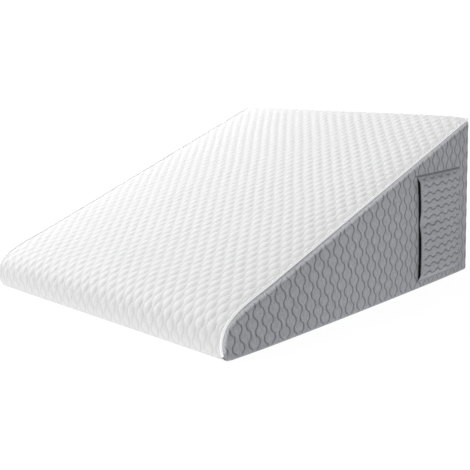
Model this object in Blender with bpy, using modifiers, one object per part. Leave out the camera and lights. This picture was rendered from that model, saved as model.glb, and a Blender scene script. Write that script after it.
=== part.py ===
"""Wedge pillow: a filled wedge in a sewn cover, with piping and a side pocket.

Metres, +Z up. The tall back is at +Y, the nose at -Y and the pocket on the right side, +X.
The origin is on the floor, under the middle of the base.
"""
import math

import bmesh
import bpy
import numpy as np

# The wedge
WIDTH = 0.593            # between the two side seams
DEPTH = 0.692            # from the nose to the back
HEIGHT = 0.305           # where the slope would meet the back if the ridge were sharp
RIDGE_ROUND = 0.007
HEEL_ROUND = 0.009

# The nose, a soft curve from the slope down to the floor
NOSE_LIFT = 0.057        # height of the slope's straight line over the nose's tip
NOSE_RUN = 0.1195        # how far behind the tip the slope stops being straight
NOSE_TIP = 0.0224        # height of the foremost point
NOSE_UNDER = 0.0122      # how far behind the tip the base begins
SLOPE_PULL = 0.063       # the curve's handle along the slope
RISE_PULL = 0.0452       # and above the tip
UNDER_PULL = 0.55        # share of the under side's height and run that its handles take

# Cloth, and the space that neighbouring pieces keep
SHEET = 0.003
BASE_SHEET = 0.0025
POCKET_SHEET = 0.0022
GAP = 0.0003
HEM_ROUND = 0.0008
SEAM_STEP = 0.0015       # the back seam's width
SELVAGE = 0.012          # how far the white top laps down behind the ridge

# How far the filled cloth bulges
TOP_CROWN = 0.0025
SIDE_CROWN = 0.004
BACK_CROWN = 0.003
END_ROUND = 0.004        # the cushion's rounded edge beside the piping

# Piping, in the corner between the top and a side panel
PIPING_RADIUS = 0.0016
PIPING_INSET = 0.0018
PANEL_MARGIN = 0.0037    # how far a side panel's rim stays inside the outline where piping runs
BARE_MARGIN = 0.0003     # and where none does
TURN_MARGIN = 0.002      # and where the piping ends

# The pocket, measured from the nose and from the floor
POCKET_MOUTH = 0.499
POCKET_BACK = 0.652
POCKET_BOTTOM = 0.0145
POCKET_TOP = 0.2085
POCKET_GAPE = 0.007      # how far its mouth stands off the side panel
POCKET_SLOPE = 0.028     # how soon it reaches that gape from its top and bottom seams
MOUTH_BOW = 0.003        # how far the middle of the mouth lies behind its ends
PINCH_HEIGHT = 0.122     # where the mouth is drawn in a little
PINCH_REACH = 0.016
PINCH_SHARE = 0.25

# The middle of a side panel, towards which its rings shrink
HEART = np.array([0.080, 0.105])
PANEL_RINGS = (0.0, 0.03, 0.08, 0.16, 0.30, 0.50, 0.75, 0.96)

# Where the cushion's sections lie, as shares of its half width
STATIONS = (1.0, 0.92, 0.78, 0.58, 0.32)

FRONT = -DEPTH / 2
BACK = DEPTH / 2
COVER_DEPTH = {
    "toe": BASE_SHEET + GAP,
    "base": BASE_SHEET + GAP,
    "heel": SHEET + GAP,
    "upright": SHEET + GAP,
}
RIM_MARGIN = {
    "selvage": TURN_MARGIN,
    "ridge": PANEL_MARGIN,
    "slope": PANEL_MARGIN,
    "nose": PANEL_MARGIN,
    "under": PANEL_MARGIN,
    "toe": TURN_MARGIN,
}
CROWN_SHARE = {"slope": 1.0, "nose": 0.6, "under": 0.2}


def clear_scene():
    for item in list(bpy.data.objects):
        bpy.data.objects.remove(item, do_unlink=True)


def collection(name):
    made = bpy.data.collections.new(name)
    bpy.context.scene.collection.children.link(made)
    return made


def cloth(name, color, roughness):
    """A matt cloth material."""
    material = bpy.data.materials.new(name)
    material.use_nodes = True
    shader = material.node_tree.nodes["Principled BSDF"]
    shader.inputs["Base Color"].default_value = (*color, 1.0)
    shader.inputs["Roughness"].default_value = roughness
    shader.inputs["Metallic"].default_value = 0.0
    material.diffuse_color = (*color, 1.0)
    return material


def smoothstep(share):
    share = min(1.0, max(0.0, share))
    return share * share * (3.0 - 2.0 * share)


def line(start, end, count):
    return [np.array(start) + (np.array(end) - np.array(start)) * t for t in np.linspace(0, 1, count)]


def arc(centre, radius, first, last, count):
    """Points on an arc, by angles in degrees from +Y towards +Z."""
    turns = np.radians(np.linspace(first, last, count))
    return [np.array(centre) + radius * np.array([math.cos(a), math.sin(a)]) for a in turns]


def bezier(start, leave, arrive, end, count):
    points = []
    for t in np.linspace(0, 1, count):
        near = (1 - t) ** 3 * start + 3 * (1 - t) ** 2 * t * leave
        far = 3 * (1 - t) * t ** 2 * arrive + t ** 3 * end
        points.append(near + far)
    return points


def outline():
    """The wedge seen from the right, as (y, z) points and the section that each belongs to."""
    tilt = math.atan2(HEIGHT - NOSE_LIFT, DEPTH)
    downhill = -np.array([math.cos(tilt), math.sin(tilt)])
    reach = RIDGE_ROUND / math.tan((math.pi / 2 - tilt) / 2)
    seam = HEIGHT - reach - SELVAGE
    tip = np.array([FRONT, NOSE_TIP])
    ground = np.array([FRONT + NOSE_UNDER, 0.0])
    bend = np.array([FRONT + NOSE_RUN, NOSE_LIFT + NOSE_RUN * math.tan(tilt)])
    under_leave = tip - np.array([0.0, NOSE_TIP * UNDER_PULL])
    under_arrive = ground - np.array([NOSE_UNDER * UNDER_PULL, 0.0])
    under = bezier(tip, under_leave, under_arrive, ground, 11)
    sections = {
        "base": line(ground, (BACK - HEEL_ROUND, 0.0), 12),
        "heel": arc((BACK - HEEL_ROUND, HEEL_ROUND), HEEL_ROUND, -90, 0, 6),
        "upright": line((BACK, HEEL_ROUND), (BACK, seam - SEAM_STEP), 9),
        "selvage": line((BACK, seam), (BACK, HEIGHT - reach), 3),
        "ridge": arc((BACK - RIDGE_ROUND, HEIGHT - reach), RIDGE_ROUND, 0, 90 + math.degrees(tilt), 7),
        "slope": line(np.array([BACK, HEIGHT]) + downhill * reach, bend, 18),
        "nose": bezier(bend, bend + downhill * SLOPE_PULL, tip + np.array([0.0, RISE_PULL]), tip, 13),
        "under": under[:6],
        "toe": under[5:],
    }
    points = []
    names = []
    for name, stretch in sections.items():
        for point in stretch:
            if points and np.linalg.norm(point - points[-1]) < 1e-6:
                continue
            points.append(point)
            names.append(name)
    if np.linalg.norm(points[-1] - points[0]) < 1e-6:
        points.pop()
        names.pop()
    return np.array(points), names


def normals(points):
    """Outward directions of a closed outline that runs counter-clockwise."""
    run = np.roll(points, -1, axis=0) - np.roll(points, 1, axis=0)
    out = np.column_stack([run[:, 1], -run[:, 0]])
    return out / np.linalg.norm(out, axis=1)[:, None]


OUTLINE, SECTION = outline()
OUTWARD = normals(OUTLINE)


def inset(depths):
    """The outline drawn inwards by one depth for each point."""
    return OUTLINE - OUTWARD * np.array(depths)[:, None]


def towards_heart(ring, share):
    return HEART + (ring - HEART) * (1.0 - share)


def side_bulge(share):
    """How far a side panel stands out, from its rim at share 0 to its heart at share 1."""
    return SIDE_CROWN * (1.0 - (1.0 - share) ** 4)


PANEL_RIM = inset([RIM_MARGIN.get(name, BARE_MARGIN) for name in SECTION])


def heart_share(y, z):
    """0 on a side panel's rim and 1 at its heart, along the line from the heart."""
    ray = np.array([y, z]) - HEART
    for first, second in zip(PANEL_RIM, np.roll(PANEL_RIM, -1, axis=0)):
        edge = second - first
        start = first - HEART
        cross = ray[0] * edge[1] - ray[1] * edge[0]
        if abs(cross) < 1e-12:
            continue
        reach = (start[0] * edge[1] - start[1] * edge[0]) / cross
        along = (start[0] * ray[1] - start[1] * ray[0]) / cross
        if reach > 0 and 0 <= along <= 1:
            return 1.0 - 1.0 / reach
    return 1.0


def across(x, half):
    """1 in the middle of the pillow and 0 at a distance half from it."""
    return max(0.0, 1.0 - abs(x / half) ** 4)


def back_bulge(x, z):
    """How far the filled back stands out."""
    rise = max(0.0, math.sin(math.pi * min(1.0, max(0.0, z / HEIGHT))))
    return BACK_CROWN * across(x, WIDTH / 2 - SHEET) * rise ** 0.6


def add(mesh, name, group, material):
    """An object from a bmesh, smooth but for its hard edges."""
    data = bpy.data.meshes.new(name)
    mesh.to_mesh(data)
    mesh.free()
    data.materials.append(material)
    made = bpy.data.objects.new(name, data)
    group.objects.link(made)
    data.shade_smooth()
    data.set_sharp_from_angle(angle=math.radians(50))
    return made


def skin(rows, closed):
    """A bmesh surface through rows of points, with the rows' vertices."""
    mesh = bmesh.new()
    grid = [[mesh.verts.new(point) for point in row] for row in rows]
    count = len(grid[0])
    for low, high in zip(grid, grid[1:]):
        for i in range(count if closed else count - 1):
            j = (i + 1) % count
            mesh.faces.new((low[i], low[j], high[j], high[i]))
    return mesh, grid


def solid(name, rings, group, material):
    """A closed solid lofted through rings, its two end rings capped."""
    mesh, grid = skin(rings, closed=True)
    mesh.faces.new(grid[0])
    mesh.faces.new(grid[-1])
    bmesh.ops.recalc_face_normals(mesh, faces=mesh.faces)
    return add(mesh, name, group, material)


def sheet(name, rows, facing, thickness, group, material, disc=False):
    """Cloth: an open surface that faces outwards, thickened inwards, with a rounded rim."""
    mesh, grid = skin(rows, closed=disc)
    if disc:
        mesh.faces.new(grid[-1])
        bmesh.ops.recalc_face_normals(mesh, faces=mesh.faces)
    mesh.normal_update()
    lean = sum(face.normal.dot(facing) * face.calc_area() for face in mesh.faces)
    if lean < 0:
        bmesh.ops.reverse_faces(mesh, faces=mesh.faces)
    made = add(mesh, name, group, material)
    thicken = made.modifiers.new("thickness", "SOLIDIFY")
    thicken.thickness = thickness
    thicken.offset = -1.0
    roll = made.modifiers.new("rolled rim", "BEVEL")
    roll.width = HEM_ROUND
    roll.segments = 2
    roll.limit_method = "ANGLE"
    roll.angle_limit = math.radians(60)
    return made


def cushion_ring(x, extra, half):
    """The cushion's section at x, drawn in by extra, with its crown."""
    depths = [COVER_DEPTH.get(name, 0.0) + extra for name in SECTION]
    ring = inset(depths)
    for i, name in enumerate(SECTION):
        ring[i] += OUTWARD[i] * TOP_CROWN * CROWN_SHARE.get(name, 0.0) * across(x, half)
        if name == "upright":
            ring[i][0] += back_bulge(x, OUTLINE[i][1])
    return ring


def build_cushion(group, material):
    """The filled wedge, with the white top panel as its skin."""
    end = WIDTH / 2 - SHEET - GAP
    half = end - END_ROUND
    stations = []
    drawn_in = cushion_ring(end, END_ROUND, half)
    for share in reversed(PANEL_RINGS):
        stations.append((end + side_bulge(share), towards_heart(drawn_in, share)))
    for turn in (30, 60):
        angle = math.radians(turn)
        x = half + END_ROUND * math.cos(angle)
        stations.append((x, cushion_ring(x, END_ROUND * (1.0 - math.sin(angle)), half)))
    for share in STATIONS:
        stations.append((half * share, cushion_ring(half * share, 0.0, half)))
    middle = [(0.0, cushion_ring(0.0, 0.0, half))]
    mirrored = [(-x, ring) for x, ring in reversed(stations)]
    rings = [[(x, y, z) for y, z in ring] for x, ring in stations + middle + mirrored]
    return solid("wedge_cushion", rings, group, material)


def build_side_panel(name, side, group, material):
    rings = []
    for share in PANEL_RINGS:
        x = side * (WIDTH / 2 + side_bulge(share))
        rings.append([(x, y, z) for y, z in towards_heart(PANEL_RIM, share)])
    return sheet(name, rings, (side, 0, 0), SHEET, group, material, disc=True)


def build_back_panel(group, material):
    """The back, on the same lines as the cushion behind it, so that the space between stays even."""
    edge = WIDTH / 2 - SHEET - 2 * GAP
    half = WIDTH / 2 - SHEET - GAP - END_ROUND
    side = [edge] + [half * share for share in STATIONS]
    places = side + [0.0] + [-x for x in reversed(side)]
    heights = [HEEL_ROUND + 2 * GAP]
    heights += [point[1] for point, name in zip(OUTLINE, SECTION) if name == "upright"]
    heights[-1] -= GAP
    rows = [[(x, BACK + back_bulge(x, z), z) for x in places] for z in heights]
    return sheet("back_panel", rows, (0, 1, 0), SHEET, group, material)


def build_base_panel(group, material):
    """The cloth under the pillow, from its turned-up toe to its turned-up heel."""
    edge = WIDTH / 2 - SHEET - 2 * GAP
    toe = [point for point, name in zip(OUTLINE, SECTION) if name == "toe"]
    floor = [point for point, name in zip(OUTLINE, SECTION) if name in ("base", "heel")]
    route = toe[1:] + floor
    rows = [[(x, y, z) for x in (-edge, 0.0, edge)] for y, z in route]
    return sheet("base_panel", rows, (0, 0, -1), BASE_SHEET, group, material)


def build_piping(name, side, group, material):
    """A cord in the side seam, over the ridge, down the slope and round the nose."""
    path = inset([PIPING_INSET] * len(OUTLINE))
    route = [point for point, section in zip(path, SECTION) if section in ("slope", "nose")]
    ridge = [point for point, section in zip(path, SECTION) if section == "ridge"]
    under = [point for point, section in zip(path, SECTION) if section == "under"]
    route = ridge[2:] + route + under[:-2]
    curve = bpy.data.curves.new(name, "CURVE")
    curve.dimensions = "3D"
    curve.bevel_depth = PIPING_RADIUS
    curve.bevel_resolution = 2
    curve.use_fill_caps = True
    spline = curve.splines.new("POLY")
    spline.points.add(len(route) - 1)
    for control, (y, z) in zip(spline.points, route):
        control.co = (side * (WIDTH / 2 - PIPING_INSET), y, z, 1.0)
    curve.materials.append(material)
    made = bpy.data.objects.new(name, curve)
    group.objects.link(made)
    return made


def pocket_gape(depth_share, z):
    """How far the pocket stands off the side, from its mouth at 0 to its back seam at 1."""
    room = min(z - POCKET_BOTTOM, POCKET_TOP - z)
    ends = smoothstep(room / POCKET_SLOPE)
    inward = 1.0 - smoothstep((depth_share - 0.55) / 0.45)
    near = 1.0 - smoothstep(depth_share / 0.5)
    pinch = 1.0 - PINCH_SHARE * near * math.exp(-((z - PINCH_HEIGHT) / PINCH_REACH) ** 2)
    return POCKET_GAPE * ends * inward * pinch


def build_pocket(group, material):
    """The pocket panel, sewn at its top, bottom and back, and open towards the nose."""
    rows = []
    for z in np.linspace(POCKET_BOTTOM, POCKET_TOP, 25):
        middle = (z - POCKET_BOTTOM) / (POCKET_TOP - POCKET_BOTTOM)
        mouth = FRONT + POCKET_MOUTH + MOUTH_BOW * math.sin(math.pi * middle)
        row = []
        for share in np.linspace(0, 1, 15):
            y = mouth + (FRONT + POCKET_BACK - mouth) * share
            x = WIDTH / 2 + side_bulge(heart_share(y, z)) + GAP + POCKET_SHEET
            row.append((x + pocket_gape(share, z), y, z))
        rows.append(row)
    return sheet("pocket_panel", rows, (1, 0, 0), POCKET_SHEET, group, material)


def main():
    clear_scene()
    group = collection("wedge_pillow")
    white = cloth("white_knit", (0.86, 0.86, 0.86), 0.9)
    grey = cloth("grey_knit", (0.27, 0.275, 0.285), 0.92)
    under = cloth("base_cloth", (0.24, 0.245, 0.255), 0.92)
    cord = cloth("white_piping", (0.88, 0.88, 0.88), 0.7)
    build_cushion(group, white)
    build_base_panel(group, under)
    build_back_panel(group, grey)
    for name, side in (("right", 1), ("left", -1)):
        build_side_panel("side_panel_" + name, side, group, grey)
        build_piping("piping_" + name, side, group, cord)
    build_pocket(group, grey)


main()
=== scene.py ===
"""The looks of the wedge pillow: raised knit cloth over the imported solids, the piping and the pocket.

Metres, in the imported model's own frame: +Z up, the nose at -Y, the tall back at +Y, the pocket at +X.
"""
import math

import bpy
import numpy as np
from mathutils import Matrix, Vector


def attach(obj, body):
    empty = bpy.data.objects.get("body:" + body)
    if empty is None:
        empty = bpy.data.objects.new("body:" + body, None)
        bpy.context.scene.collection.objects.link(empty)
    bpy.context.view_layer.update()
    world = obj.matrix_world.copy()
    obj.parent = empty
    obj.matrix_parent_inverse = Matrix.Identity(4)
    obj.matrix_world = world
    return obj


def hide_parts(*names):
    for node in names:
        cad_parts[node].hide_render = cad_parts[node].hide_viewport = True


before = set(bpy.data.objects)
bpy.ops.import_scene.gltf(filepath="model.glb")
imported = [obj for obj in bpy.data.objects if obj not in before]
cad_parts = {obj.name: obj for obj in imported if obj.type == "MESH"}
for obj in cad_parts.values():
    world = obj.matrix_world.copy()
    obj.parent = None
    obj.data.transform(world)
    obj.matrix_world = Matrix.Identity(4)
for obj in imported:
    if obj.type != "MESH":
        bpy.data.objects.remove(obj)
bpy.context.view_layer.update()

# The wedge's driving sizes: the part's own, with a rounder ridge and nose to suit the photograph
WIDTH = 0.593
DEPTH = 0.692
HEIGHT = 0.305
RIDGE_ROUND = 0.011
HEEL_ROUND = 0.009
NOSE_LIFT = 0.057
NOSE_RUN = 0.1195
NOSE_TIP = 0.0250
NOSE_UNDER = 0.0185
SLOPE_PULL = 0.063
RISE_PULL = 0.0452
UNDER_PULL = 0.55
SELVAGE = 0.012
SEAM_STEP = 0.0015
# How much further out the filled back stands
BACK_SPREAD = 0.008
FRONT = -DEPTH / 2
BACK = DEPTH / 2 + BACK_SPREAD

# Cloth and its crowns
SHEET = 0.003
GAP = 0.0003
COVER = 0.0033
TOP_CROWN = 0.0034
SIDE_CROWN = 0.003
BACK_CROWN = 0.003
END_ROUND = 0.004
# The foam spreads a little at its foot, on the sides and at the back
FOOT_SPREAD = 0.006
BACK_LEAN = 0.006
# The two upright back edges are round in plan, and the cloth stands a little proud of the foam there
CORNER_ROUND = 0.016
PIPING_RADIUS = 0.0020
PIPING_INSET = 0.0012
PANEL_MARGIN = 0.0037
TURN_MARGIN = 0.002
BARE_MARGIN = 0.0003
HEART = np.array([0.080, 0.105])

# The pocket
POCKET_MOUTH = FRONT + 0.499
POCKET_BACK = FRONT + 0.652
POCKET_BOTTOM = 0.0145
POCKET_TOP = 0.2085
POCKET_SHEET = 0.0022
POCKET_GAPE = 0.0055
POCKET_SLOPE = 0.014
MOUTH_BOW = 0.003
PINCH_HEIGHT = 0.122
PINCH_REACH = 0.016
PINCH_SHARE = 0.55

# The camera, fitted to the photograph's seams and edges
CAMERA_PLACE = (1.0692, -1.1141, 0.4226)
CAMERA_YAW = math.radians(43.963)
CAMERA_PITCH = math.radians(7.705)
CAMERA_ROLL = math.radians(-0.895)
FRAME_PX = 470
FOCAL_PX = 817.2
SHIFT_PX = -66
SENSOR_MM = 36.0

DOME_LIGHT = 0.42
KEY_WATTS = 66.0
FILL_WATTS = 16.0
FLOOR_GLOW = 0.90
FLOOR_COLOUR = (0.2, 0.2, 0.2)
FLOOR_SIZE = 40.0
# The world is white up to a low height over the horizon, and the dome takes over above it
HORIZON_LIGHT = 1.02
HORIZON_TOP = 0.12
DOME_START = 0.35
KEY_PLACE = (-2.3, 0.1, 1.8)
KEY_SIZE = 0.9
FILL_PLACE = (-1.2, -2.6, 1.7)
FILL_SIZE = 1.6


# Small helpers

def smoothstep(share):
    share = np.clip(share, 0.0, 1.0)
    return share * share * (3.0 - 2.0 * share)


def line(start, end, count):
    return np.linspace(np.array(start, float), np.array(end, float), count)


def arc(centre, radius, first, last, count):
    """Points on an arc, by angles in degrees from +Y towards +Z."""
    turns = np.radians(np.linspace(first, last, count))
    return np.array(centre) + radius * np.column_stack([np.cos(turns), np.sin(turns)])


def bezier(start, leave, arrive, end, count):
    t = np.linspace(0, 1, count)[:, None]
    near = (1 - t) ** 3 * start + 3 * (1 - t) ** 2 * t * leave
    return near + 3 * (1 - t) * t ** 2 * arrive + t ** 3 * end


def back_lean(z):
    return BACK_LEAN * np.clip(1.0 - z / HEIGHT, 0.0, 1.0)


def corner_inset(y):
    """How far the sides draw in where they turn into the back."""
    beyond = np.clip((y - BACK + CORNER_ROUND) / CORNER_ROUND, 0.0, 1.0)
    return CORNER_ROUND * (1.0 - np.sqrt(1.0 - beyond ** 2))


def foot_spread(y, z):
    """How far a side stands out over its foot: nothing at the toe, at the heel and at the top."""
    along = np.clip((y - FRONT - NOSE_UNDER) / (DEPTH - NOSE_UNDER), 0.0, 1.0)
    return FOOT_SPREAD * np.sqrt(np.sin(math.pi * along)) * np.clip(1.0 - z / HEIGHT, 0.0, 1.0) ** 1.5


def outline_sections():
    """The wedge seen from the right, as a dense run of (y, z) points for each section."""
    tilt = math.atan2(HEIGHT - NOSE_LIFT, DEPTH)
    downhill = -np.array([math.cos(tilt), math.sin(tilt)])
    reach = RIDGE_ROUND / math.tan((math.pi / 2 - tilt) / 2)
    seam = HEIGHT - reach - SELVAGE
    tip = np.array([FRONT, NOSE_TIP])
    ground = np.array([FRONT + NOSE_UNDER, 0.0])
    bend = np.array([FRONT + NOSE_RUN, NOSE_LIFT + NOSE_RUN * math.tan(tilt)])
    under_leave = tip - np.array([0.0, NOSE_TIP * UNDER_PULL])
    under_arrive = ground - np.array([NOSE_UNDER * UNDER_PULL, 0.0])
    under = bezier(tip, under_leave, under_arrive, ground, 41)
    ridge_centre = (BACK - RIDGE_ROUND, HEIGHT - reach)
    foot = BACK + back_lean(0.0)
    return {
        "base": line(ground, (foot - HEEL_ROUND, 0.0), 40),
        "heel": arc((foot - HEEL_ROUND, HEEL_ROUND), HEEL_ROUND, -90, 0, 16),
        "upright": line((foot, HEEL_ROUND), (BACK, seam - SEAM_STEP), 40),
        "selvage": line((BACK, seam), (BACK, HEIGHT - reach), 12),
        "ridge": arc(ridge_centre, RIDGE_ROUND, 0, 90 + math.degrees(tilt), 24),
        "slope": line(np.array([BACK, HEIGHT]) + downhill * reach, bend, 120),
        "nose": bezier(bend, bend + downhill * SLOPE_PULL, tip + np.array([0.0, RISE_PULL]), tip, 80),
        "under": under[:21],
        "toe": under[20:],
    }


SECTIONS = outline_sections()


def joined(*names):
    """Sections end to end as one run, without doubled points."""
    run = np.concatenate([SECTIONS[name] for name in names])
    keep = np.append(True, np.linalg.norm(np.diff(run, axis=0), axis=1) > 1e-6)
    return run[keep]


def resampled(run, places):
    """Points of a run at the given distances along it."""
    along = np.append(0.0, np.cumsum(np.linalg.norm(np.diff(run, axis=0), axis=1)))
    return np.column_stack([np.interp(places, along, run[:, i]) for i in range(2)])


def length_of(run):
    return float(np.linalg.norm(np.diff(run, axis=0), axis=1).sum())


def outward(run):
    """Outward directions along a run that goes counter-clockwise."""
    ahead = np.gradient(run, axis=0)
    out = np.column_stack([ahead[:, 1], -ahead[:, 0]])
    return out / np.linalg.norm(out, axis=1)[:, None]


def inset_loop(margins):
    """The whole outline drawn inwards, by a margin for each section."""
    names = list(SECTIONS)
    loop = joined(*names)
    margin = []
    for name in names:
        margin += [margins.get(name, BARE_MARGIN)] * len(SECTIONS[name])
    every = np.concatenate([SECTIONS[name] for name in names])
    keep = np.append(True, np.linalg.norm(np.diff(every, axis=0), axis=1) > 1e-6)
    margin = np.array(margin)[keep]
    padded = np.concatenate([loop[-9:-1], loop, loop[1:9]])
    out = outward(padded)[8:-8]
    soft = np.convolve(np.concatenate([margin[-4:], margin, margin[:4]]), np.ones(9) / 9, "valid")
    return loop - out * soft[:, None]


PIPED = {"ridge": PANEL_MARGIN, "slope": PANEL_MARGIN, "nose": PANEL_MARGIN, "under": PANEL_MARGIN}
PANEL_RIM = inset_loop({**PIPED, "selvage": TURN_MARGIN, "toe": TURN_MARGIN})


def on_piping(points):
    """True for the points of a side panel's rim that the piping runs along."""
    y, z = points.T
    high = z > np.interp(y, [FRONT, BACK], [NOSE_UNDER, 0.8 * HEIGHT])
    return high & (z > 0.006)


def rim_distance(y, z, piped):
    """How far each point of a side panel lies from its piped rim, or from the rest of its rim."""
    points = np.column_stack([y.ravel(), z.ravel()])
    step = np.roll(PANEL_RIM, -1, axis=0) - PANEL_RIM
    chosen = on_piping(PANEL_RIM) == piped
    best = np.full(len(points), np.inf)
    for a, d in zip(PANEL_RIM[chosen], step[chosen]):
        t = np.clip(((points - a) @ d) / max(float(d @ d), 1e-14), 0.0, 1.0)
        away = points - a - t[:, None] * d
        best = np.minimum(best, (away ** 2).sum(1))
    return np.sqrt(best).reshape(y.shape)


def heart_share(y, z):
    """0 on a side panel's rim and 1 at its heart."""
    rim = PANEL_RIM - HEART
    angle = np.arctan2(rim[:, 1], rim[:, 0])
    order = np.argsort(angle)
    reach = np.interp(
        np.arctan2(z - HEART[1], y - HEART[0]), angle[order], np.hypot(*rim[order].T), period=2 * math.pi
    )
    return 1.0 - np.hypot(y - HEART[0], z - HEART[1]) / reach


def side_bulge(y, z):
    share = np.clip(heart_share(y, z), 0.0, 1.0)
    return SIDE_CROWN * (1.0 - (1.0 - share) ** 4) + foot_spread(y, z)


def across_crown(x, half, power=4):
    """A crown from 1 in the middle to 0 at both ends; a higher power falls away later."""
    return np.maximum(0.0, 1.0 - np.abs(x / half) ** power)


def back_bulge(x, z):
    rise = np.sin(math.pi * np.clip(z / HEIGHT, 0.0, 1.0))
    return BACK_CROWN * across_crown(x, WIDTH / 2 - SHEET) * np.maximum(rise, 0.0) ** 0.6 + back_lean(z)


# The knit: chains of round bulbs and narrow necks between wavy grooves

def wander(a, b, seed):
    """A slow, smooth unevenness from -1 to 1."""
    mixed = np.zeros_like(a)
    for i, (fa, fb) in enumerate(((23.0, 9.0), (-13.0, 31.0), (41.0, 17.0), (-29.0, -37.0))):
        mixed += np.sin(fa * a + fb * b + seed * (1.7 + i) + i) / (1.0 + 0.5 * i)
    return mixed / 2.6


# How softly the wavy grooves turn; towards 0 they become square
SQUARENESS = 0.6
# The half width of the painted shade line in each of the wavy grooves
GROOVE_SHADE_WIDTH = 0.0012


def chain_knit(across, along, pitch, period, swing, neck, seed):
    """(height, shade) of the knit: height 0 to 1 over the bulbs, shade 1 along its wavy grooves, where painted
    shade darkens the cloth.
    """
    across = across + 0.0011 * wander(across, along, seed)
    along = along + 0.0016 * wander(along, across, seed + 3.0)
    turn = np.sin(2.0 * math.pi * along / period)
    wave = swing * turn * math.sqrt(1.0 + SQUARENESS) / np.sqrt(turn ** 2 + SQUARENESS)

    def groove_line(k):
        return k * pitch + np.where(k % 2 == 0, wave, -wave)

    k = np.floor(across / pitch)
    k = np.where(across < groove_line(k), k - 1, k)
    k = np.where(across >= groove_line(k + 1), k + 1, k)
    left = groove_line(k)
    width = groove_line(k + 1) - left
    share = np.clip((across - left) / width, 0.0, 1.0)
    full = (width - (pitch - 2 * swing)) / (4 * swing)
    dome = (4.0 * share * (1.0 - share)) ** 0.62
    near = np.minimum(share, 1.0 - share) * width
    uneven = 1.0 + 0.12 * wander(1.7 * across, 1.3 * along, seed + 9.0)
    height = dome * (neck + (1.0 - neck) * full) * uneven
    groove_shade = np.exp(-(near / GROOVE_SHADE_WIDTH) ** 2)
    return height, groove_shade


# Mesh building

def grid_faces(rows, columns, wrap):
    index = np.arange(rows * columns).reshape(rows, columns)
    if wrap:
        index = np.vstack([index, index[:1]])
    a, b = index[:-1, :-1], index[:-1, 1:]
    c, d = index[1:, 1:], index[1:, :-1]
    return np.stack([a, b, c, d], axis=-1).reshape(-1, 4).tolist()


def new_piece(name, points, faces, materials, uv, tone, groove_shade):
    """An object from flat arrays, with its cloth map in metres and what its material reads."""
    data = bpy.data.meshes.new(name)
    data.from_pydata(points.reshape(-1, 3).tolist(), [], faces)
    data.validate()
    for key, values in (("tone", tone), ("groove_shade", groove_shade)):
        layer = data.attributes.new(key, "FLOAT", "POINT")
        layer.data.foreach_set("value", np.ascontiguousarray(values, np.float32).ravel())
    corner = np.empty(len(data.loops), np.int32)
    data.loops.foreach_get("vertex_index", corner)
    cloth_map = data.uv_layers.new(name="cloth")
    flat = np.ascontiguousarray(uv.reshape(-1, 2)[corner], np.float32)
    cloth_map.uv.foreach_set("vector", flat.ravel())
    for material in materials:
        data.materials.append(material)
    data.shade_smooth()
    made = bpy.data.objects.new(name, data)
    bpy.context.scene.collection.objects.link(made)
    return made


def facing(points, faces, direction):
    """The faces again, turned over if their sum looks away from a direction."""
    flat = points.reshape(-1, 3)
    corner = np.array(faces)
    normal = np.cross(flat[corner[:, 1]] - flat[corner[:, 0]], flat[corner[:, 2]] - flat[corner[:, 0]])
    if normal.sum(0) @ np.array(direction, float) < 0:
        return corner[:, ::-1].tolist()
    return faces


# Materials

def node(tree, kind, **values):
    made = tree.nodes.new(kind)
    for key, value in values.items():
        setattr(made, key, value)
    return made


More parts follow.
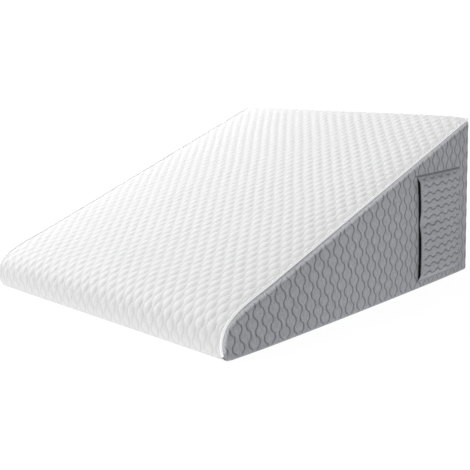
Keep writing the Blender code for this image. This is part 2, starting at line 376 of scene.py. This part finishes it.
def cloth_material(name, high, low, rough, sheen, pitch, bump, fleck, streak):
    """Knit cloth: painted shade in its grooves and seam lines, with heathered wales and fine courses across
    them.
    """
    material = bpy.data.materials.new(name)
    material.use_nodes = True
    tree = material.node_tree
    link = tree.links.new
    shader = tree.nodes["Principled BSDF"]
    shader.inputs["Roughness"].default_value = rough
    shader.inputs["Specular IOR Level"].default_value = 0.2
    shader.inputs["Sheen Weight"].default_value = sheen
    shader.inputs["Sheen Roughness"].default_value = 0.6

    groove_shade = node(tree, "ShaderNodeAttribute", attribute_name="groove_shade")
    colour = node(tree, "ShaderNodeMix", data_type="RGBA")
    colour.inputs["A"].default_value = (*high, 1.0)
    colour.inputs["B"].default_value = (*low, 1.0)
    link(groove_shade.outputs["Fac"], colour.inputs["Factor"])
    shade = node(tree, "ShaderNodeAttribute", attribute_name="tone")
    shaded = node(tree, "ShaderNodeVectorMath", operation="SCALE")
    link(colour.outputs["Result"], shaded.inputs[0])
    link(shade.outputs["Fac"], shaded.inputs["Scale"])

    cloth_map = node(tree, "ShaderNodeUVMap", uv_map="cloth")
    tone = shaded.outputs["Vector"]
    for size, amount in (((520.0, 520.0, 1.0), fleck), ((380.0, 110.0, 1.0), streak)):
        place = node(tree, "ShaderNodeMapping")
        place.inputs["Scale"].default_value = size
        noise = node(tree, "ShaderNodeTexNoise")
        noise.inputs["Scale"].default_value = 1.0
        noise.inputs["Detail"].default_value = 2.0
        spread = node(tree, "ShaderNodeMapRange")
        spread.inputs["From Min"].default_value = 0.3
        spread.inputs["From Max"].default_value = 0.7
        spread.inputs["To Min"].default_value = 1.0 - amount
        spread.inputs["To Max"].default_value = 1.0 + amount
        tinted = node(tree, "ShaderNodeVectorMath", operation="SCALE")
        link(cloth_map.outputs["UV"], place.inputs["Vector"])
        link(place.outputs["Vector"], noise.inputs["Vector"])
        link(noise.outputs["Fac"], spread.inputs["Value"])
        link(tone, tinted.inputs[0])
        link(spread.outputs["Result"], tinted.inputs["Scale"])
        tone = tinted.outputs["Vector"]
    link(tone, shader.inputs["Base Color"])

    heights = []
    for direction, size in (("X", pitch), ("Y", pitch * 0.8)):
        wave = node(tree, "ShaderNodeTexWave", bands_direction=direction)
        # A wave texture repeats every pi / 10 units at scale 1
        wave.inputs["Scale"].default_value = math.pi / 10.0 / size
        wave.inputs["Distortion"].default_value = 1.2
        wave.inputs["Detail Scale"].default_value = 2.0
        link(cloth_map.outputs["UV"], wave.inputs["Vector"])
        heights.append(wave.outputs["Fac"])
    loops = node(tree, "ShaderNodeMath", operation="MULTIPLY")
    link(heights[0], loops.inputs[0])
    link(heights[1], loops.inputs[1])
    fine = node(tree, "ShaderNodeBump")
    fine.inputs["Strength"].default_value = bump
    fine.inputs["Distance"].default_value = 0.0004
    link(loops.outputs["Value"], fine.inputs["Height"])
    link(fine.outputs["Normal"], shader.inputs["Normal"])
    return material


def plain_material(name, colour, rough, emission=0.0):
    material = bpy.data.materials.new(name)
    material.use_nodes = True
    shader = material.node_tree.nodes["Principled BSDF"]
    shader.inputs["Base Color"].default_value = (*colour, 1.0)
    shader.inputs["Roughness"].default_value = rough
    if emission:
        shader.inputs["Emission Color"].default_value = (1.0, 1.0, 1.0, 1.0)
        shader.inputs["Emission Strength"].default_value = emission
    return material


# The darker colours here are painted shade for the grooves and seam lines
WHITE_HIGH = (0.87, 0.87, 0.87)
WHITE_GROOVE_SHADE = (0.72, 0.72, 0.725)
GREY_HIGH = (0.362, 0.367, 0.389)
GREY_GROOVE_SHADE = (0.090, 0.092, 0.100)
BASE_HIGH = (0.80, 0.80, 0.80)
CORD_HIGH = (0.94, 0.94, 0.94)
CORD_PAINTED_GLOW = 0.1

white_knit = cloth_material("white_knit_cloth", WHITE_HIGH, WHITE_GROOVE_SHADE, 0.9, 0.1, 0.0014, 0.3, 0.01, 0.01)
grey_knit = cloth_material("grey_knit_cloth", GREY_HIGH, GREY_GROOVE_SHADE, 0.92, 0.1, 0.0014, 0.5, 0.14, 0.16)
base_cloth = cloth_material("base_cloth", BASE_HIGH, WHITE_GROOVE_SHADE, 0.93, 0.1, 0.0012, 0.4, 0.02, 0.02)
glowing_piping_cloth = cloth_material("glowing_piping_cloth", CORD_HIGH, WHITE_HIGH, 0.7, 0.1, 0.0009, 0.2, 0.01, 0.01)
# The piping glows a little: painted light that keeps it brighter than the white top
cord_shader = glowing_piping_cloth.node_tree.nodes["Principled BSDF"]
cord_shader.inputs["Emission Color"].default_value = (1.0, 1.0, 1.0, 1.0)
cord_shader.inputs["Emission Strength"].default_value = CORD_PAINTED_GLOW
# Near black painted shade for the pocket's inside and for the side cloth under the pocket
pocket_shade = plain_material("pocket_shade_cloth", (0.012, 0.012, 0.014), 0.95)


# The filled cushion with its white top panel

TOP_STEP = 0.0030
TOP_COLUMNS = 300
TOP_PITCH = 0.0115
TOP_PERIOD = 0.030
TOP_SWING = 0.0024
TOP_RELIEF = 0.0017
TOP_NECK = 0.35
TOP_SEED = 2.0
TOP_CROWN_POWER = 9
# The white cloth is painted a little darker under the nose, as painted shade
UNDER_SHADE = 0.90
UNDER_SHADE_REACH = 0.07
# The crown grows behind the ridge and sinks again towards the nose's underside
CROWN_START = 0.022
CROWN_LOSS = 0.75
CROWN_END = 0.09
# The relief is calmer over the ridge
RIDGE_CALM = 0.55
RIDGE_PLACE = 0.03
RIDGE_REACH = 0.02


def build_cushion():
    """The wedge as one closed form: raised knit on what shows, plain where panels cover it."""
    shown = joined("selvage", "ridge", "slope", "nose", "under")
    length = length_of(shown)
    places = np.linspace(0.0, length, int(length / TOP_STEP) + 1)
    path = resampled(shown, places)
    hidden = joined("toe", "base", "heel", "upright")
    hidden_length = length_of(hidden)
    hidden_places = np.concatenate([[0.0015, 0.004, 0.008, 0.013], np.linspace(0.03, hidden_length - 0.002, 18)])
    cover = resampled(hidden, hidden_places)
    cover = cover - outward(cover) * COVER
    normal = np.vstack([outward(path), outward(cover)])
    route = np.vstack([path, cover])
    sinking = CROWN_LOSS * smoothstep((places - length + CROWN_END) / CROWN_END)
    crown_share = np.concatenate([smoothstep(places / CROWN_START) * (1.0 - sinking), np.zeros(len(cover))])

    end = WIDTH / 2 - SHEET - GAP
    half = end - END_ROUND
    turns = np.radians(np.linspace(0, 90, 8))[1:]
    x = np.concatenate([
        -(half + END_ROUND * np.sin(turns))[::-1],
        np.linspace(-half, half, TOP_COLUMNS),
        half + END_ROUND * np.sin(turns),
    ])
    drawn = END_ROUND * (1.0 - np.cos(turns))
    drawn = np.concatenate([drawn[::-1], np.zeros(TOP_COLUMNS), drawn])

    along = np.concatenate([places, np.full(len(cover), length)])
    grid_x, grid_s = np.meshgrid(x, along)
    height, groove_shade = chain_knit(grid_x, grid_s, TOP_PITCH, TOP_PERIOD, TOP_SWING, TOP_NECK, TOP_SEED)
    fade = smoothstep((half + END_ROUND - np.abs(grid_x)) / 0.006)
    fade[len(path):] = 0.0
    fade *= smoothstep(grid_s / 0.004) * smoothstep((length - grid_s) / 0.004)
    crown = TOP_CROWN * across_crown(x, half, TOP_CROWN_POWER)[None, :] * crown_share[:, None]
    calm = 1.0 - RIDGE_CALM * np.exp(-((grid_s - RIDGE_PLACE) / RIDGE_REACH) ** 2)
    lift = crown - drawn[None, :] + TOP_RELIEF * (height - 0.6) * fade * calm
    points = np.empty(grid_x.shape + (3,))
    points[..., 0] = grid_x * (1.0 - corner_inset(route[:, 0]) / end)[:, None]
    points[..., 1] = route[:, 0][:, None] + normal[:, 0][:, None] * lift
    points[..., 2] = route[:, 1][:, None] + normal[:, 1][:, None] * lift
    rows, columns = grid_x.shape
    faces = grid_faces(rows, columns, wrap=True)
    index = np.arange(rows * columns).reshape(rows, columns)
    middle = points[len(path) // 2, columns // 2]
    above = points[len(path) // 2, columns // 2 + 1] - middle
    onward = points[len(path) // 2 + 1, columns // 2] - middle
    if np.cross(above, onward)[2] < 0:
        faces = [face[::-1] for face in faces]
        caps = [index[:, 0].tolist(), index[::-1, -1].tolist()]
    else:
        caps = [index[::-1, 0].tolist(), index[:, -1].tolist()]
    uv = np.stack([grid_x, grid_s], axis=-1)
    # Painted shade under the nose
    tone = UNDER_SHADE + (1.0 - UNDER_SHADE) * smoothstep((length - grid_s) / UNDER_SHADE_REACH)
    made = new_piece("cushion_white", points, faces + caps, [white_knit], uv, tone, groove_shade * fade)
    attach(made, "root")
    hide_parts("wedge_cushion")
    return made


# The grey side panels

SIDE_PITCH = 0.01602
SIDE_PERIOD = 0.0284
SIDE_SWING = 0.0033
SIDE_RELIEF = 0.0011
# How high a neck stands against a bulb, on all the grey cloth
GREY_NECK = 0.6
SIDE_SEED = 5.0
# The half width of the painted shade line along a seam
SEAM_SHADE_WIDTH = 0.0007
# One bulb's centre, across and along the chains, sets where the pattern lies
SIDE_BULB = (FRONT + 0.0844, 0.0585)
PIPED_ROLL = (0.0085, 0.004)
FOOT_ROLL = (0.004, 0.0026)
SEAM_DIP = 0.0005
# The grey cloth gets a painted highlight along the rolled edge by the piped seam, and is darker towards the back
SEAM_HIGHLIGHT = 0.9
TONE_PLACES = (0.0, 0.15, 0.30, 0.45, 0.60, 0.69)
TONES = (0.93, 0.95, 1.01, 0.99, 0.93, 0.86)


def roll(distance, size):
    """How far a cloth's edge has turned in at a distance from its rim."""
    reach, depth = size
    share = np.clip(1.0 - distance / reach, 0.0, 1.0)
    return depth * (1.0 - np.sqrt(1.0 - share ** 2))


def rim_heights(y):
    """Lowest and highest point of a side panel's rim at each y."""
    tip = int(np.argmin(PANEL_RIM[:, 0]))
    rim = np.roll(PANEL_RIM, -tip, axis=0)
    far = int(np.argmax(rim[:, 0] + 1e-4 * (rim[:, 1] < HEEL_ROUND * 1.05)))
    low = rim[: far + 1]
    high = np.vstack([rim[:1], rim[far:][::-1]])
    high = high[np.append(True, np.diff(high[:, 0]) > 1e-7)]
    low = low[np.append(True, np.diff(low[:, 0]) > 1e-7)]
    return np.interp(y, low[:, 0], low[:, 1]), np.interp(y, high[:, 0], high[:, 1])


def panel_columns(step):
    """Places along a side panel, closer together at its nose and at its back edge."""
    start, end = PANEL_RIM[:, 0].min(), PANEL_RIM[:, 0].max()
    near = np.array([0.0002, 0.0006, 0.0011, 0.0018, 0.0026, 0.0035, 0.0045, 0.0057, 0.007])
    count = int((end - start - 2 * near[-1]) / step)
    inner = np.linspace(start + near[-1], end - near[-1], count)[1:-1]
    return np.concatenate([start + near, inner, end - near[::-1]])


def panel_rows(low, high, count):
    """Heights in each column, closer together at both rims."""
    near = np.array([0.0, 0.0002, 0.0005, 0.001, 0.0016, 0.0024, 0.0034, 0.0046, 0.006])
    height = (high - low)[:, None]
    near = near[None, :] * np.minimum(1.0, height / 0.04)
    inner = np.linspace(0, 1, count)[None, 1:-1]
    inner = near[:, -1:] + (height - 2 * near[:, -1:]) * inner
    return low[:, None] + np.hstack([near, inner, height - near[:, ::-1]])


def lean(y):
    """How far the chains lean towards the nose for each metre of height."""
    return 0.16 * smoothstep((POCKET_MOUTH - y) / 0.36)


def in_pocket(y, z, margin):
    """True where a point of the side lies under the pocket, margin inside its edge."""
    inside = (z > POCKET_BOTTOM + margin) & (z < POCKET_TOP - margin)
    return inside & (y > mouth_line(z) + margin) & (y < POCKET_BACK - margin)


def mouth_line(z):
    middle = np.clip((z - POCKET_BOTTOM) / (POCKET_TOP - POCKET_BOTTOM), 0.0, 1.0)
    return POCKET_MOUTH + MOUTH_BOW * np.sin(math.pi * middle)


def side_surface(y, z):
    """How far out the side cloth's mean surface lies."""
    piped = rim_distance(y, z, True)
    bare = rim_distance(y, z, False)
    turned = np.maximum(roll(piped, PIPED_ROLL), roll(bare, FOOT_ROLL))
    dip = SEAM_DIP * np.exp(-((piped - PIPED_ROLL[0]) / 0.0014) ** 2)
    x = WIDTH / 2 + side_bulge(y, z) - turned - dip - corner_inset(y)
    return x, piped, np.minimum(piped, bare)


def side_tone(y, piped):
    """The grey cloth's slow changes of tone, a painted highlight on the rolled edge along the piped seam, and a
    thin painted shade line in the dip where the roll ends.
    """
    slow = np.interp(y - FRONT, TONE_PLACES, TONES)
    light = SEAM_HIGHLIGHT * np.exp(-((piped - 0.003) / 0.003) ** 2)
    # Painted highlight on the rolled edge, less a thin painted shade line in the dip where the roll ends
    return slow * (1.0 + light - 0.12 * np.exp(-((piped - PIPED_ROLL[0]) / 0.001) ** 2))


def build_side(name, side, step, row_count, with_pocket):
    """A wedge-shaped sheet of raised knit, its rim rolled into the seam."""
    y = panel_columns(step)
    low, high = rim_heights(y)
    z = panel_rows(low, high, row_count)
    y = np.repeat(y[:, None], z.shape[1], axis=1)
    x, piped, distance = side_surface(y, z)
    across = y + lean(y) * z - SIDE_BULB[0] + SIDE_PITCH / 2
    along = z - SIDE_BULB[1] + 0.75 * SIDE_PERIOD
    height, groove_shade = chain_knit(across, along, SIDE_PITCH, SIDE_PERIOD, SIDE_SWING, GREY_NECK, SIDE_SEED)
    fade = smoothstep((distance - 0.002) / 0.005)
    if with_pocket:
        seam = np.minimum(np.abs(z - POCKET_TOP), np.abs(z - POCKET_BOTTOM))
        beside = (y > POCKET_MOUTH - 0.004) & (y < POCKET_BACK + 0.002)
        seam = np.where(beside, seam, 1.0)
        back = np.where((z > POCKET_BOTTOM) & (z < POCKET_TOP), np.abs(y - POCKET_BACK), 1.0)
        seam = np.minimum(seam, back)
        under = in_pocket(y, z, 0.0)
        fade = fade * smoothstep(seam / 0.003) * np.where(under, 0.0, 1.0)
        # Painted shade lines along the pocket's seams join the grooves' painted shade
        groove_shade = np.maximum(groove_shade * fade, np.exp(-(seam / SEAM_SHADE_WIDTH) ** 2) * (distance > 0.004))
    else:
        groove_shade = groove_shade * fade
    x = x + SIDE_RELIEF * (height - 0.75) * fade
    points = np.stack([side * x, y, z], axis=-1)

    # A skirt turns the rim in towards the cushion, so that no raw edge shows
    ring = np.concatenate([
        np.column_stack([np.arange(z.shape[0]), np.zeros(z.shape[0], int)]),
        np.column_stack([np.full(z.shape[1] - 1, z.shape[0] - 1), np.arange(1, z.shape[1])]),
        np.column_stack([np.arange(z.shape[0] - 2, -1, -1), np.full(z.shape[0] - 1, z.shape[1] - 1)]),
        np.column_stack([np.zeros(z.shape[1] - 2, int), np.arange(z.shape[1] - 2, 0, -1)]),
    ])
    rim_index = ring[:, 0] * z.shape[1] + ring[:, 1]
    rim = points[ring[:, 0], ring[:, 1]]
    skirt = rim.copy()
    skirt[:, 0] = side * (WIDTH / 2 - SHEET - corner_inset(rim[:, 1]))
    skirt[:, 1:] += (HEART - rim[:, 1:]) * 0.004
    total = z.size
    skirt_index = total + np.arange(len(ring))
    faces = grid_faces(*z.shape, wrap=False)
    strip = np.stack([rim_index, np.roll(rim_index, -1), np.roll(skirt_index, -1), skirt_index], axis=-1)
    all_points = np.vstack([points.reshape(-1, 3), skirt])
    faces = facing(points, faces, (side, 0, 0))
    first = np.array(faces[0])
    edge = [rim_index[0], rim_index[1]]
    forward = [(first[i], first[(i + 1) % 4]) for i in range(4)]
    if (edge[0], edge[1]) in forward:
        strip = strip[:, ::-1]
    uv = np.stack([y, z], axis=-1).reshape(-1, 2)
    uv = np.vstack([uv, skirt[:, 1:]])
    # The skirt, turned into the seam, is painted a little darker, as painted shade
    tone = np.concatenate([side_tone(y, piped).ravel(), np.full(len(skirt), 0.9)])
    shade_lines = np.concatenate([groove_shade.ravel(), np.zeros(len(skirt))])
    made = new_piece(name, all_points, faces + strip.tolist(), [grey_knit, pocket_shade], uv, tone, shade_lines)
    if with_pocket:
        # The side cloth under the pocket takes the near black painted shade
        pocket_shaded = in_pocket(y, z, 0.0005)
        corner = np.array(faces)
        dark = pocket_shaded.ravel()[corner].all(axis=1).astype(np.int32)
        slots = np.concatenate([dark, np.zeros(len(strip), np.int32)])
        made.data.polygons.foreach_set("material_index", slots)
    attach(made, "root")
    return made


def build_sides():
    for name, side, step, rows, pocket in (
        ("side_grey_right", 1, 0.00155, 190, True),
        ("side_grey_left", -1, 0.0024, 118, False),
    ):
        made = build_side(name, side, step, rows, pocket)
        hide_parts("side_panel_" + ("right" if side > 0 else "left"))


# The pocket

POCKET_PITCH = 0.0145
POCKET_PERIOD = 0.029
POCKET_SWING = 0.0024
POCKET_RELIEF = 0.0009
POCKET_SEED = 7.0
POCKET_ROWS = 142
POCKET_COLUMNS = 112
SEAM_INSET = 0.0012
# The hem's line behind the mouth
HEM_PLACE = 0.007
HEM_DEPTH = 0.0006
HEM_WIDTH = 0.0012
# The crease that runs back from the pinched mouth
CREASE_DEPTH = 0.0012
CREASE_RISE = 0.012
CREASE_WIDTH = 0.005


def pocket_gape(share, z):
    room = np.minimum(z - POCKET_BOTTOM, POCKET_TOP - z)
    ends = smoothstep(room / POCKET_SLOPE)
    inward = 1.0 - smoothstep((share - 0.55) / 0.45)
    near = 1.0 - smoothstep(share / 0.5)
    pinch = 1.0 - PINCH_SHARE * near * np.exp(-((z - PINCH_HEIGHT) / PINCH_REACH) ** 2)
    return POCKET_GAPE * ends * inward * pinch


def build_pocket():
    """A closed sheet, raised knit outside and near black inside as painted shade, open towards the nose."""
    z = np.linspace(POCKET_BOTTOM, POCKET_TOP, POCKET_ROWS)
    share = np.linspace(0, 1, POCKET_COLUMNS)
    share, z = np.meshgrid(share, z)
    mouth = mouth_line(z)
    y = mouth + (POCKET_BACK - mouth) * share
    surface, piped, _ = side_surface(y, z)
    edge = np.minimum(np.minimum(z - POCKET_BOTTOM, POCKET_TOP - z), POCKET_BACK - y)
    inner = surface + GAP + pocket_gape(share, z)
    height, groove_shade = chain_knit(z, y, POCKET_PITCH, POCKET_PERIOD, POCKET_SWING, GREY_NECK, POCKET_SEED)
    fade = smoothstep((edge - 0.002) / 0.006) * smoothstep((y - mouth - 0.004) / 0.008)
    hem = HEM_DEPTH * np.exp(-((y - mouth - HEM_PLACE) / HEM_WIDTH) ** 2)
    crease_line = PINCH_HEIGHT + CREASE_RISE * (share - 0.3)
    crease = CREASE_DEPTH * np.exp(-((z - crease_line) / CREASE_WIDTH) ** 2)
    crease = crease * (1.0 - smoothstep((share - 0.2) / 0.7))
    body = POCKET_SHEET * (0.35 + 0.65 * smoothstep(edge / 0.004))
    outer = inner + body + POCKET_RELIEF * (height - 0.75) * fade - hem - crease * smoothstep(edge / 0.01)
    shell = np.stack([np.stack([outer, y, z], -1), np.stack([inner, y, z], -1)])
    rows, columns = z.shape
    faces = grid_faces(rows, columns, wrap=False)
    front = facing(shell[0], faces, (1, 0, 0))
    back = [[i + rows * columns for i in face[::-1]] for face in front]
    index = np.arange(rows * columns).reshape(rows, columns)
    loop = np.concatenate([index[0, :-1], index[:-1, -1], index[-1, :0:-1], index[:0:-1, 0]])
    after = np.roll(loop, -1)
    strip = np.stack([loop, after, after + rows * columns, loop + rows * columns], -1).tolist()
    first = front[0]
    if (loop[0], loop[1]) in [(first[i], first[(i + 1) % 4]) for i in range(4)]:
        strip = [quad[::-1] for quad in strip]
    uv = np.stack([z, y], -1)
    tone = np.concatenate([side_tone(y, piped).ravel(), np.ones(z.size)])
    # Painted shade along the pocket's stitched line
    stitch_shade = np.exp(-((edge - SEAM_INSET) / SEAM_SHADE_WIDTH) ** 2)
    shade_lines = np.concatenate([np.maximum(groove_shade * fade, 0.8 * stitch_shade).ravel(), np.zeros(z.size)])
    made = new_piece("pocket_grey", shell, front + back + strip, [grey_knit, pocket_shade],
                     np.stack([uv, uv]), tone, shade_lines)
    # The pocket's inner face takes the near black painted shade
    slots = np.zeros(len(made.data.polygons), np.int32)
    slots[len(front): len(front) + len(back)] = 1
    made.data.polygons.foreach_set("material_index", slots)
    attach(made, "root")
    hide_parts("pocket_panel")


# The back and the base

BACK_SEED = 11.0
BACK_COLUMNS = 210
BACK_ROWS = 102
BACK_SHEET = 0.0028
BACK_ROLL = (0.003, 0.0015)
BASE_COLUMNS = 90
BASE_SHEET = 0.0015


def build_back():
    edge = WIDTH / 2 - SHEET - 2 * GAP - CORNER_ROUND
    top = SECTIONS["upright"][-1][1] - GAP
    across = np.linspace(-edge, edge, BACK_COLUMNS)
    x, z = np.meshgrid(across, np.linspace(HEEL_ROUND + 2 * GAP, top, BACK_ROWS))
    room = np.minimum(np.minimum(edge - np.abs(x), top - z), z - HEEL_ROUND)
    height, groove_shade = chain_knit(x, z, SIDE_PITCH, SIDE_PERIOD, SIDE_SWING, GREY_NECK, BACK_SEED)
    fade = smoothstep((room - 0.001) / 0.006)
    outer = BACK + back_bulge(x, z) + SIDE_RELIEF * (height - 0.75) * fade - roll(room, BACK_ROLL)
    points = np.stack([x, outer, z], -1)
    inner = np.stack([x, BACK + back_bulge(x, z) - BACK_SHEET, z], -1)
    rows, columns = x.shape
    front = facing(points, grid_faces(rows, columns, wrap=False), (0, 1, 0))
    index = np.arange(rows * columns).reshape(rows, columns)
    loop = np.concatenate([index[0, :-1], index[:-1, -1], index[-1, :0:-1], index[:0:-1, 0]])
    flat_inner = inner.reshape(-1, 3)[loop]
    after = np.roll(loop, -1)
    number = rows * columns + np.arange(len(loop))
    strip = np.stack([loop, after, np.roll(number, -1), number], -1).tolist()
    first = front[0]
    if (loop[0], loop[1]) in [(first[i], first[(i + 1) % 4]) for i in range(4)]:
        strip = [quad[::-1] for quad in strip]
    uv = np.vstack([np.stack([x, z], -1).reshape(-1, 2), flat_inner[:, [0, 2]]])
    tone = np.full(x.size + len(loop), TONES[-1])
    shade_lines = np.concatenate([(groove_shade * fade).ravel(), np.zeros(len(loop))])
    made = new_piece("back_grey", np.vstack([points.reshape(-1, 3), flat_inner]), front + strip,
                     [grey_knit], uv, tone, shade_lines)
    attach(made, "root")
    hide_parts("back_panel")


def build_base():
    """The cloth under the pillow, turned up at the toe and at the heel."""
    edge = WIDTH / 2 - SHEET - 2 * GAP
    run = joined("toe", "base", "heel")
    length = length_of(run)
    places = np.concatenate([np.linspace(0.0012, 0.02, 14), np.linspace(0.03, length - 0.02, 90),
                             np.linspace(length - 0.015, length, 12)])
    path = resampled(run, places)
    x, s = np.meshgrid(np.linspace(-edge, edge, BASE_COLUMNS), places)
    spread = foot_spread(path[:, 0], path[:, 1])[:, None]
    points = np.empty(x.shape + (3,))
    drawn = corner_inset(path[:, 0])[:, None]
    points[..., 0] = x * (1.0 + (spread - drawn) / edge)
    points[..., 1] = path[:, 0][:, None]
    points[..., 2] = path[:, 1][:, None]
    faces = facing(points, grid_faces(*x.shape, wrap=False), (0, 0, -1))
    made = new_piece("base_cloth", points, faces, [base_cloth], np.stack([x, s], -1),
                     np.ones(x.shape), np.zeros(x.shape))
    thicken = made.modifiers.new("thickness", "SOLIDIFY")
    thicken.thickness = BASE_SHEET
    thicken.offset = -1.0
    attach(made, "root")
    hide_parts("base_panel")


# Piping

PIPING_STEP = 0.0022
PIPING_SIDES = 12


def tube(name, path, radius, sides, material):
    """A round cord along 3D points, with domed ends."""
    path = np.array(path)
    ahead = np.gradient(path, axis=0)
    ahead /= np.linalg.norm(ahead, axis=1)[:, None]
    side = np.array([1.0, 0.0, 0.0])
    up = np.cross(ahead, side)
    up /= np.linalg.norm(up, axis=1)[:, None]
    turn = 2 * math.pi * np.arange(sides) / sides
    sizes = np.full(len(path), radius)
    sizes[[0, -1]] = radius * 0.35
    ring = side[None, None, :] * np.cos(turn)[None, :, None] + up[:, None, :] * np.sin(turn)[None, :, None]
    points = path[:, None, :] + ring * sizes[:, None, None]
    rows = len(path)
    index = np.arange(rows * sides).reshape(rows, sides)
    index = np.hstack([index, index[:, :1]])
    a, b, c, d = index[:-1, :-1], index[:-1, 1:], index[1:, 1:], index[1:, :-1]
    faces = np.stack([a, b, c, d], -1).reshape(-1, 4)
    normal = np.cross(
        points.reshape(-1, 3)[faces[0][1]] - points.reshape(-1, 3)[faces[0][0]],
        points.reshape(-1, 3)[faces[0][2]] - points.reshape(-1, 3)[faces[0][0]],
    )
    inward = normal @ (points[0].mean(0) - points.reshape(-1, 3)[faces[0][0]]) > 0
    caps = [index[0, :-1].tolist(), index[-1, :-1][::-1].tolist()]
    if inward:
        faces = faces[:, ::-1]
    else:
        caps = [cap[::-1] for cap in caps]
    along = np.append(0.0, np.cumsum(np.linalg.norm(np.diff(path, axis=0), axis=1)))
    uv = np.stack(np.broadcast_arrays(turn[None, :] * radius, along[:, None]), -1)
    plain = np.zeros((rows, sides))
    return new_piece(name, points, faces.tolist() + caps, [material], uv, plain + 1.0, plain)


def build_piping():
    run = joined("ridge", "slope", "nose", "under")
    length = length_of(run)
    places = np.arange(0.004, length - 0.003, PIPING_STEP)
    path = resampled(run, places)
    path = path - outward(path) * PIPING_INSET
    for name, side in (("right", 1), ("left", -1)):
        x = side * (WIDTH / 2 - PIPING_INSET - 0.0006 - corner_inset(path[:, 0]))
        route = np.column_stack([x, path])
        made = tube("piping_white_" + name, route, PIPING_RADIUS, PIPING_SIDES, glowing_piping_cloth)
        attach(made, "root")
        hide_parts("piping_" + name)


def build_floor():
    bpy.ops.mesh.primitive_plane_add(size=FLOOR_SIZE, location=(0.0, 0.0, 0.0))
    floor = bpy.context.object
    floor.name = "floor"
    floor.data.materials.append(plain_material("floor_white", FLOOR_COLOUR, 0.9, emission=FLOOR_GLOW))


def build_camera():
    """The photograph's view: placed by yaw from +Y towards -X, pitch downwards and roll."""
    cy, sy = math.cos(CAMERA_YAW), math.sin(CAMERA_YAW)
    cp, sp = math.cos(CAMERA_PITCH), math.sin(CAMERA_PITCH)
    ahead = Vector((-sy * cp, cy * cp, -sp))
    right = Vector((cy, sy, 0.0))
    up = right.cross(ahead)
    level_right = right * math.cos(CAMERA_ROLL) + up * math.sin(CAMERA_ROLL)
    level_up = up * math.cos(CAMERA_ROLL) - right * math.sin(CAMERA_ROLL)
    turn = Matrix((level_right, level_up, -ahead)).transposed()
    data = bpy.data.cameras.new("camera")
    data.sensor_width = SENSOR_MM
    data.lens = FOCAL_PX / FRAME_PX * SENSOR_MM
    data.shift_y = SHIFT_PX / FRAME_PX
    camera = bpy.data.objects.new("camera", data)
    camera.matrix_world = Matrix.Translation(CAMERA_PLACE) @ turn.to_4x4()
    bpy.context.scene.collection.objects.link(camera)
    bpy.context.scene.camera = camera


def area_light(name, place, target, size, power):
    data = bpy.data.lights.new(name, "AREA")
    data.shape = "SQUARE"
    data.size = size
    data.energy = power
    light = bpy.data.objects.new(name, data)
    light.location = place
    light.rotation_euler = (Vector(target) - Vector(place)).to_track_quat("-Z", "Y").to_euler()
    bpy.context.scene.collection.objects.link(light)


def build_light():
    """A bright, soft studio: white all round the horizon, a softer dome and a key light from the left."""
    world = bpy.data.worlds.new("studio")
    bpy.context.scene.world = world
    world.use_nodes = True
    tree = world.node_tree
    link = tree.links.new
    background = tree.nodes["Background"]
    background.inputs["Color"].default_value = (1.0, 1.0, 1.0, 1.0)
    place = node(tree, "ShaderNodeTexCoord")
    height = node(tree, "ShaderNodeSeparateXYZ")
    link(place.outputs["Generated"], height.inputs["Vector"])
    band = node(tree, "ShaderNodeMapRange", interpolation_type="SMOOTHSTEP")
    band.inputs["From Min"].default_value = HORIZON_TOP
    band.inputs["From Max"].default_value = DOME_START
    band.inputs["To Min"].default_value = HORIZON_LIGHT
    band.inputs["To Max"].default_value = DOME_LIGHT
    link(height.outputs["Z"], band.inputs["Value"])
    link(band.outputs["Result"], background.inputs["Strength"])
    area_light("key", KEY_PLACE, (0.0, 0.0, 0.15), KEY_SIZE, KEY_WATTS)
    area_light("fill", FILL_PLACE, (0.0, 0.0, 0.1), FILL_SIZE, FILL_WATTS)
    bpy.context.scene.view_settings.view_transform = "Standard"


build_camera()
build_light()
build_floor()
build_cushion()
build_sides()
build_back()
build_base()
build_pocket()
build_piping()
